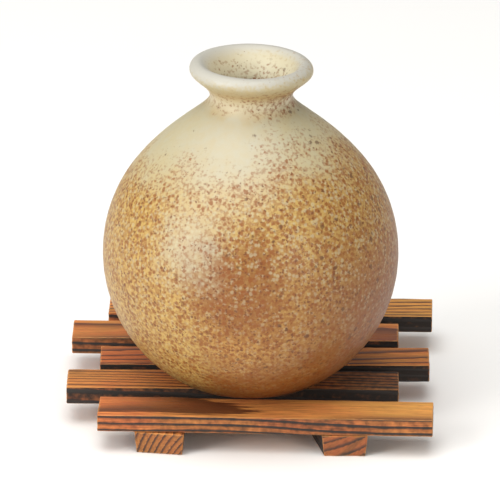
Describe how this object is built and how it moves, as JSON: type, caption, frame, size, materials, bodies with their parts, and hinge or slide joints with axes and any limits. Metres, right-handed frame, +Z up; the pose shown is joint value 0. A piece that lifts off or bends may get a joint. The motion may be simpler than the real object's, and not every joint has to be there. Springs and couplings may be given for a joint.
{
  "type": "sake bottle on a slatted stand",
  "caption": "Round-bellied stoneware sake bottle with a narrow neck and rolled lip, lifting off a small scorched-wood slatted stand.",
  "frame": {"origin": "middle of the footprint's bounding box, on the surface that the two bearers stand on", "axes": "+Z up along the bottle's axis, +X to the right along the slats, +Y to the back across the slats"},
  "size_m": [0.1197, 0.1168, 0.1211],
  "materials": {
    "glazed_stoneware": "semi-matt ash glaze, cream at the lip to speckled ochre below",
    "slat_wood": "scorched and brushed, raised grain",
    "bearer_wood": "scorched and brushed, sawn ends",
    "brad_steel": "plain drawn wire, dulled"
  },
  "bodies": {
    "stand": {"front_slat": "slat_wood", "second_slat": "slat_wood", "middle_slat": "slat_wood", "fourth_slat": "slat_wood", "back_slat": "slat_wood", "left_bearer": "bearer_wood", "right_bearer": "bearer_wood", "brads": "brad_steel"},
    "bottle": {"bottle": "glazed_stoneware"}
  },
  "joints": [
    {"name": "bottle_lift", "type": "slide", "parent": "stand", "child": "bottle", "axis": [0, 0, 1], "range_m": [0, 0.12]}
  ]
}
